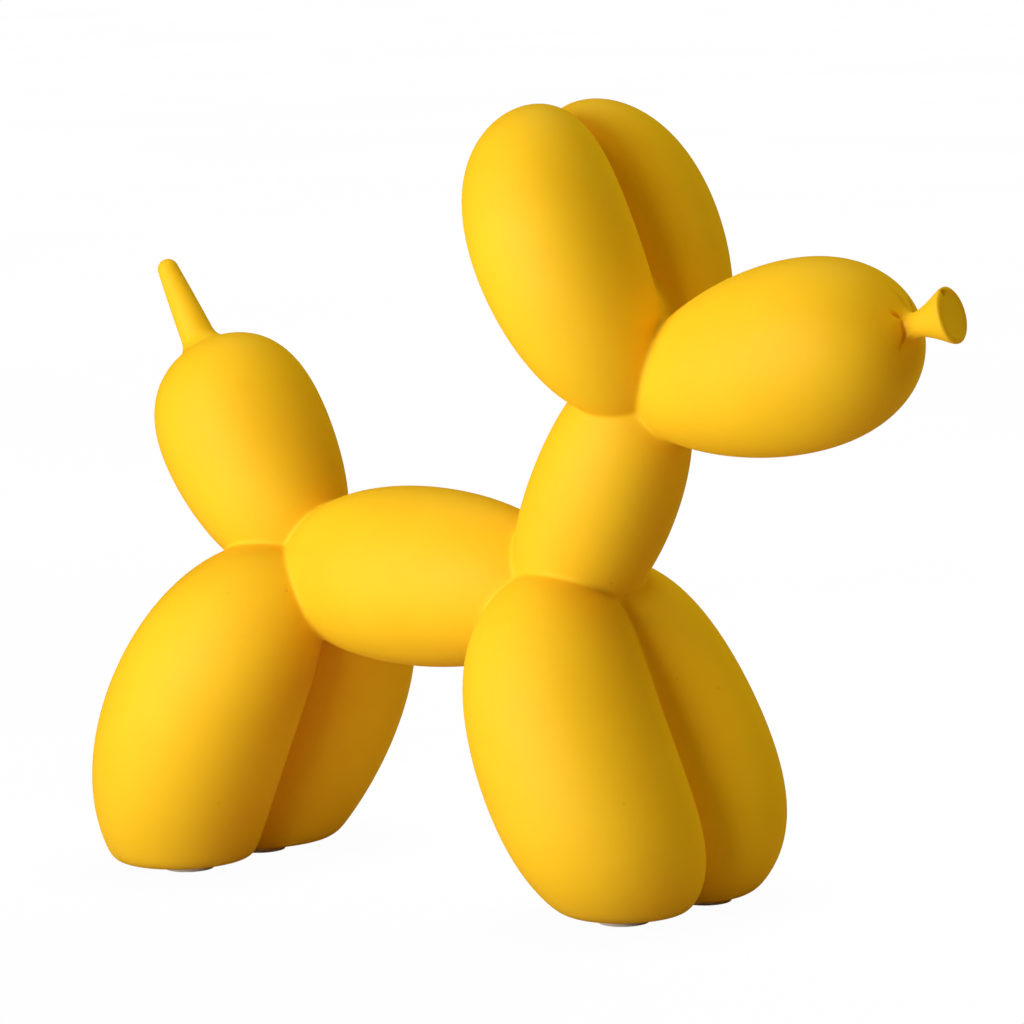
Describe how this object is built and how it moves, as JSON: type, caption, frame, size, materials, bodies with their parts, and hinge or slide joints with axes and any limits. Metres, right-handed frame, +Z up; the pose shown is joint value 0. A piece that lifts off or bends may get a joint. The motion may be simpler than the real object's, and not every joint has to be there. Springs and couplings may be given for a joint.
{
  "type": "balloon dog figure",
  "caption": "Standing dog figure in the form of a twisted balloon, with tied nozzle nose and tail tip, for a shelf or table.",
  "frame": {"origin": "middle of the figure's length and width, on the plane of the pads' undersides", "axes": "+X the way the dog looks, +Y its left side, +Z up"},
  "size_m": [0.206, 0.0748, 0.1594],
  "materials": {
    "yellow_coating": "matte",
    "pad_foam": "matte"
  },
  "bodies": {
    "root": {"balloon_dog": "yellow_coating", "pad_front_right": "pad_foam", "pad_front_left": "pad_foam", "pad_hind_right": "pad_foam", "pad_hind_left": "pad_foam"}
  },
  "joints": []
}
